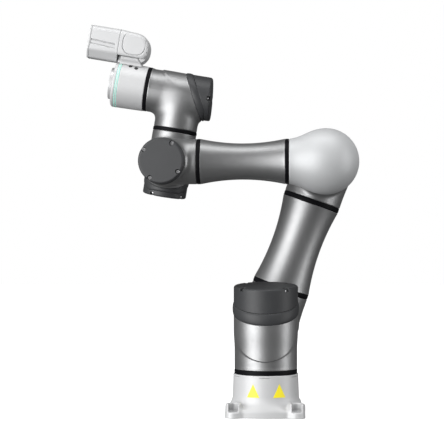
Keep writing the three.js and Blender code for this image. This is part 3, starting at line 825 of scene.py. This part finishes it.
# ---- end module -------------------------------------------------------------------------------------
# Its frame: +Z out of the tool flange, +X up to the vision camera, origin on the flange's face.
FLANGE_FACE = WRIST_TIP + SIXTH * reach("tool_flange", place(WRIST_TIP, FIFTH, SIXTH))[1]
END = place(FLANGE_FACE, FIFTH, SIXTH)
BUTTONS = {"freedrive_button": "freedrive_cap", "waypoint_button": "waypoint_cap"}


def button_frame(node):
    """+Z out along the button's own press direction, through the module's axis."""
    outward = -joint_axis(node.replace("button", "press"))
    along = reach(node, END)
    origin = FLANGE_FACE + SIXTH * (along[0] + along[1]) / 2
    return place(origin, SIXTH, outward)


def end_shell_shape():
    low, high = reach("end_module_housing", END)
    front = widest("end_module_housing", END)
    wall = 4.5 * MM
    buttons = [np.array(button_frame(node).inverted() @ END) for node in BUTTONS]

    def distance(p):
        across, z = np.hypot(p[..., 0], p[..., 1]), p[..., 2]
        radius = front - 1.0 * MM * np.clip((high - z) / (high - low), 0, 1)
        side = common(across - radius, np.maximum(low - z, z - high), 1.6 * MM)
        hollow = np.maximum(across - front + wall + 1 * MM, low + wall - z)
        shell = np.maximum(np.maximum(side, -hollow), -(across - 26 * MM))
        for matrix in buttons:
            q = p @ matrix[:3, :3].T + matrix[:3, 3]
            hole = np.maximum(np.hypot(q[..., 0], q[..., 1]) - 3.7 * MM, 20 * MM - q[..., 2])
            shell = cut(shell, hole, 0.5 * MM)
        return shell

    return distance, (-front, -front, low), (front, front, high)


def make_end_shell():
    shape, low, high = end_shell_shape()
    piece = cast("end_module_shell", shape, low, high, END, FINE_CELL)
    finish(piece, WHITE, "end_module", "white_shell", "end_module_housing")


def ring_outline(node):
    low, high = reach(node, END)
    corners = points_in(node, END)
    radii = np.hypot(corners[:, 0], corners[:, 1])
    return low, high, radii.min(), radii.max()


def make_end_rings():
    low, high, inner, outer = ring_outline("status_light_ring")
    line, gap = 1.2 * MM, 0.05 * MM  # width of each lit line, and the joint beside it
    stack = (
        ("light_guide", low, low + line, LIGHT, "mint_light", ["status_light_ring"]),
        ("light_spacer", low + line + gap, high - line - gap, WHITE, "white_shell", []),
        ("light_guide_front", high - line, high, LIGHT, "mint_light", []),
    )
    for name, start, end, material, slot, nodes in stack:
        outline = [(inner, start), (outer, start), (outer, end), (inner, end)]
        piece = turned_ring(name, rounded(outline, 0.35 * MM), END)
        finish(piece, material, "end_module", slot, *nodes)
    low, high, inner, outer = ring_outline("end_module_front_cover")
    outline = [(inner, low), (outer, low), (outer, high - 2.6 * MM), (outer - 2.6 * MM, high),
               (outer - 7 * MM, high), (outer - 7.8 * MM, high - 0.7 * MM), (inner, high - 0.7 * MM)]
    piece = turned_ring("front_cover_ring", rounded(outline, 1.1 * MM), END)
    finish(piece, WHITE, "end_module", "white_shell", "end_module_front_cover")


def flange_shape():
    low, high = reach("tool_flange", END)
    radius = widest("tool_flange", END)
    step = -14.9 * MM

    def distance(p):
        across = np.hypot(p[..., 0], p[..., 1])
        body = rod(p, radius, step, high, 1.0 * MM)
        hub = rod(p, radius - 6 * MM, low, step + 3 * MM, 0.6 * MM)
        shape = np.minimum(body, hub)
        recess = np.maximum(across - 15.75 * MM, -6 * MM - p[..., 2])
        shape = cut(shape, np.minimum(recess, across - 9 * MM), 0.6 * MM)
        for i in range(4):
            turn = math.radians(45 + 90 * i)
            q = moved(p, 25 * MM * math.cos(turn), 25 * MM * math.sin(turn))
            hole = np.maximum(np.hypot(q[..., 0], q[..., 1]) - 3 * MM, -10 * MM - p[..., 2])
            shape = cut(shape, hole, 0.5 * MM)
        pin = moved(p, 25 * MM)
        pin = np.maximum(np.hypot(pin[..., 0], pin[..., 1]) - 3 * MM, -8 * MM - p[..., 2])
        return cut(shape, pin, 0.4 * MM)

    return distance, (-radius, -radius, low), (radius, radius, high)


def make_flange():
    shape, low, high = flange_shape()
    piece = cast("flange_plate", shape, low, high, END, 0.8 * MM)
    finish(piece, FLANGE, "end_module", "turned_aluminium", "tool_flange")


def make_buttons():
    """Each button is a round key with a dished top."""
    for node, name in BUTTONS.items():
        where = button_frame(node)
        low, high = reach(node, where)
        radius = 3.1 * MM

        def key(p):
            bar = rod(p, radius, low, high, 0.8 * MM)
            dish = np.linalg.norm(moved(p, z=high + 6.3 * MM), axis=-1) - 7 * MM
            return cut(bar, dish, 0.4 * MM)

        corner = (radius, radius)
        piece = cast(name, key, (-radius, -radius, low), (*corner, high), where, 0.4 * MM)
        finish(piece, PLASTIC, node, "black_plastic", node)


make_end_shell()
make_end_rings()
make_flange()
make_buttons()


# ---- vision camera ----------------------------------------------------------------------------------
CAMERA_LOW, CAMERA_HIGH = reach("vision_camera_housing", END, 0)  # heights above the sixth axis
CAMERA_HALF = reach("vision_camera_housing", END, 1)[1]
CHAMFER_TOP, SILL = 60 * MM, 17 * MM  # where the sides turn in, and half the width underneath


def camera_section(p, inset):
    """Across the camera: rounded above, drawn in towards the underside."""
    x, y = p[..., 0], np.abs(p[..., 1])
    top, half, round_edge = CAMERA_HIGH - inset, CAMERA_HALF - inset, 14 * MM - inset
    qx, qy = x - top + round_edge, y - half + round_edge
    crown = np.hypot(np.maximum(qx, 0), np.maximum(qy, 0)) + np.minimum(np.maximum(qx, qy), 0)
    crown = crown - round_edge
    run, fall = CAMERA_HALF - SILL, CHAMFER_TOP - CAMERA_LOW
    chamfer = ((y - CAMERA_HALF) * fall - (x - CHAMFER_TOP) * run) / math.hypot(run, fall) + inset
    lower = common(chamfer, CAMERA_LOW + inset - x, 3 * MM)
    return common(crown, lower, 3 * MM)


def camera_front_shape():
    low, high = reach("vision_camera_housing", END)

    def distance(p):
        x, y, z = p[..., 0], np.abs(p[..., 1]), p[..., 2]
        body = common(camera_section(p, 0), np.maximum(low - z, z - high), 0.4 * MM)
        run = np.maximum(z - 49 * MM, -1 * MM - z)
        level = np.abs(x - 72 * MM - 0.06 * z)
        channel = np.maximum(np.maximum(level - 4.6 * MM, run), CAMERA_HALF - 1.2 * MM - y)
        lines = np.maximum(np.maximum(np.abs(level - 4.0 * MM) - 0.8 * MM, run), CAMERA_HALF - 2.4 * MM - y)
        body = cut(cut(body, channel, 0.8 * MM), lines, 0.4 * MM)
        hollow = np.maximum(camera_section(p, 3.2 * MM), low + 3 * MM - z)
        wire = np.hypot(x - 80 * MM, p[..., 1]) - 8 * MM
        return np.maximum(np.maximum(body, -hollow), -np.maximum(wire, z - 20 * MM))

    corner = (CAMERA_LOW, -CAMERA_HALF, low)
    return distance, corner, (CAMERA_HIGH, CAMERA_HALF, high)


def camera_rear_shape():
    low, high = reach("vision_camera_rear_cover", END)
    centre_x, centre_z, power = 75 * MM, -30 * MM, 2.2
    foot = 46 * MM

    def side(p, inset):
        """Seen from the side: an egg-shaped rear end, a straight top in front of it."""
        x, z = p[..., 0], p[..., 2]
        up = np.where(x > centre_x, CAMERA_HIGH - inset - centre_x, centre_x - foot + 8 * MM - inset)
        back = centre_z - low - inset
        egg = (np.abs(x - centre_x) / up) ** power + (np.maximum(centre_z - z, 0) / back) ** power
        return (egg ** (1 / power) - 1) * back * 0.9 - 0.25 * np.maximum(z - centre_z, 0)

    def body(p, inset):
        x, y, z = p[..., 0], np.abs(p[..., 1]), p[..., 2]
        shape = common(side(p, inset), camera_section(p, inset), 9 * MM)
        shelf = 57 * MM + inset - x  # the part in front of the bracket's rear edge stands on it
        tail = np.maximum(z + 50 * MM + (57 * MM - x) * 0.75, y - 19 * MM)
        under = np.minimum(shelf, np.maximum(tail, foot + inset - x))
        return np.maximum(np.maximum(shape, under), z - high)

    def distance(p):
        outer = common(body(p, 0), p[..., 2] - high, 0.3 * MM)
        ex, ez = (p[..., 0] - 83 * MM) / (22.5 * MM), (p[..., 2] + 38 * MM) / (23 * MM)
        line = np.abs((np.abs(ex) ** 2.6 + np.abs(ez) ** 2.6) ** (1 / 2.6) - 1) * 22 * MM - 0.75 * MM
        groove = np.maximum(line, CAMERA_HALF - 1.6 * MM - np.abs(p[..., 1]))
        outer = cut(outer, groove, 0.6 * MM)
        hollow = np.maximum(body(p, 3 * MM), p[..., 2] - high - 6 * MM)
        inner = np.maximum(np.maximum(side(p, 3 * MM), camera_section(p, 3 * MM)), 60 * MM - p[..., 0])
        return np.maximum(outer, -np.minimum(inner, np.maximum(hollow, 60 * MM - p[..., 0])))

    return distance, (foot, -CAMERA_HALF, low), (CAMERA_HIGH, CAMERA_HALF, high)


def bezel_shape():
    low, high = reach("vision_camera_bezel", END)

    def distance(p):
        z = p[..., 2]
        body = common(camera_section(p, 0), np.maximum(low - z, z - high), 1.2 * MM)
        return cut(body, camera_section(p, 6 * MM), 0.6 * MM)

    return distance, (CAMERA_LOW, -CAMERA_HALF, low), (CAMERA_HIGH, CAMERA_HALF, high)


def bracket_shape():
    low, high = reach("vision_camera_bracket", END)
    bottom, top = reach("vision_camera_bracket", END, 0)
    half = reach("vision_camera_bracket", END, 1)[1]
    module = widest("end_module_housing", END)
    neck_from, neck_half = -14.5 * MM, 15 * MM  # the stretch in front that meets the camera housing

    def distance(p):
        x, y, z = p[..., 0], np.abs(p[..., 1]), p[..., 2]
        width = half + (neck_half - half) * soft_step((z - neck_from) / (3 * MM) + 0.5)
        flare = y - width - 3 * MM * soft_step((52 * MM - x) / (8 * MM))
        back = (-50 * MM - (top - x) * 0.72) - z
        ends = np.maximum(back, z - high)
        block = common(common(flare, ends, 4 * MM), x - top, 1.2 * MM)
        return np.maximum(block, module + GAP - np.hypot(x, y))

    return distance, (bottom, -half - 4 * MM, low), (top, half + 4 * MM, high)


def make_camera_body():
    parts = (
        ("camera_front_shell", camera_front_shape, WHITE, "vision_camera_housing"),
        ("camera_rear_shell", camera_rear_shape, WHITE, "vision_camera_rear_cover"),
        ("camera_bezel_ring", bezel_shape, WHITE, "vision_camera_bezel"),
        ("camera_saddle", bracket_shape, WHITE, "vision_camera_bracket"),
    )
    for name, build, material, node in parts:
        shape, low, high = build()
        piece = cast(name, shape, low, high, END, FINE_CELL)
        finish(piece, material, "end_module", "white_shell", node)


def make_camera_lens():
    where = END @ Matrix.Translation((78 * MM, 0, 0))
    low, high = reach("vision_camera_lens", where)
    outline = [(6, 0), (11, 0), (11, 22), (15, 22), (15, 30), (14.2, 31), (14.2, 33), (15, 34), (15, 36),
               (12, 36), (11, 34), (9, 27), (6, 26)]
    outline = [(r * MM, low + z * MM) for r, z in outline]
    piece = turned_ring("lens_barrel", rounded(outline, 0.3 * MM, 3), where)
    finish(piece, PLASTIC, "end_module", "black_plastic", "vision_camera_lens")
    dome = [(0.1 * MM, high - 4.5 * MM), (8.5 * MM, high - 6 * MM)]
    dome += [(8.5 * MM * math.cos(t), high - 6 * MM + 3 * MM * math.sin(t))
             for t in np.linspace(0.1, 1.5, 12)]
    piece = turned_ring("lens_glass", dome, where)
    finish(piece, GLASS, "end_module", "camera_glass")


make_camera_body()
make_camera_lens()


# ---- pieces kept as they are in the frame -----------------------------------------------------------
KEPT = {"motor_gear_unit": COPPER, "output_shaft": STEEL, "cable_loom": JACKET, "window": GLASS}
for name, node in frame["nodes"].items():
    for ending, material in KEPT.items():
        if name.endswith(ending):
            node.data.materials.clear()
            node.data.materials.append(material)

# ---- stage ------------------------------------------------------------------------------------------
GLOSS_LEVEL, DIFFUSE_LEVEL = 0.1, 0.62  # how bright the studio's walls look in reflections, and as fill


def area_light(name, at, target, size, energy, colour=(1, 1, 1)):
    data = bpy.data.lights.new(name, "AREA")
    data.shape, data.size, data.size_y = "RECTANGLE", size[0], size[1]
    data.energy, data.color = energy, colour
    lamp = bpy.data.objects.new(name, data)
    lamp.location = at
    lamp.rotation_euler = (Vector(target) - Vector(at)).to_track_quat("-Z", "Y").to_euler()
    bpy.context.scene.collection.objects.link(lamp)


def make_studio():
    """White to the camera, dim in reflections, and as fill a white sky over a dark floor."""
    world = bpy.data.worlds.new("studio")
    bpy.context.scene.world = world
    world.use_nodes = True
    tree = world.node_tree
    background = tree.nodes["Background"]
    background.inputs["Color"].default_value = (1, 1, 1, 1)
    path = tree.nodes.new("ShaderNodeLightPath")
    direction = tree.nodes.new("ShaderNodeTexCoord")
    parts = tree.nodes.new("ShaderNodeSeparateXYZ")
    tree.links.new(direction.outputs["Generated"], parts.inputs[0])
    sky = tree.nodes.new("ShaderNodeMapRange")
    for name, value in (("From Min", -0.2), ("From Max", 0.2), ("To Max", DIFFUSE_LEVEL - GLOSS_LEVEL)):
        sky.inputs[name].default_value = value
    tree.links.new(parts.outputs["Z"], sky.inputs["Value"])
    fill = tree.nodes.new("ShaderNodeMath")
    fill.operation = "MULTIPLY_ADD"
    fill.inputs[2].default_value = GLOSS_LEVEL
    tree.links.new(path.outputs["Is Diffuse Ray"], fill.inputs[0])
    tree.links.new(sky.outputs["Result"], fill.inputs[1])
    seen = tree.nodes.new("ShaderNodeMath")
    seen.operation = "MULTIPLY_ADD"
    seen.inputs[1].default_value = 1 - GLOSS_LEVEL
    tree.links.new(path.outputs["Is Camera Ray"], seen.inputs[0])
    tree.links.new(fill.outputs[0], seen.inputs[2])
    tree.links.new(seen.outputs[0], background.inputs["Strength"])


def make_stage():
    scene = bpy.context.scene
    scene.view_settings.view_transform = "Standard"
    make_studio()
    floor_mesh = bpy.data.meshes.new("floor")
    edge = 6.0
    corners = [(-edge, -edge, 0), (edge, -edge, 0), (edge, edge, 0), (-edge, edge, 0)]
    floor_mesh.from_pydata(corners, [], [(0, 1, 2, 3)])
    floor = bpy.data.objects.new("floor", floor_mesh)
    floor.location.z = CAD_BOX[0][2] - 0.2 * MM
    scene.collection.objects.link(floor)
    floor_mesh.materials.append(surface("pale_floor", (0.95, 0.95, 0.95), 0.8, vary=0.005, bump=0.0,
                                       Emission_Color=(1, 1, 1, 1), Emission_Strength=0.55))
    floor.visible_glossy = False
    floor.visible_diffuse = False
    floor.visible_shadow = False
    area_light("key", (-2.1, -2.1, 0.55), (0, 0, 0.4), (2.5, 3.0), 150)
    area_light("fill", (2.6, -0.6, 0.55), (0, 0, 0.4), (1.0, 2.6), 36)
    area_light("top", (0, -0.45, 2.6), (0, -0.1, 0.4), (2.6, 0.7), 34)


def make_camera():
    data = bpy.data.cameras.new("camera")
    data.sensor_width = 36
    data.lens = 124.8
    camera = bpy.data.objects.new("camera", data)
    camera.location = (0.0676, -2.9579, 0.3692)
    forward = Vector((-0.0513, 0.9987, 0))
    camera.rotation_euler = forward.to_track_quat("-Z", "Y").to_euler()
    bpy.context.scene.collection.objects.link(camera)
    bpy.context.scene.camera = camera


make_stage()
make_camera()
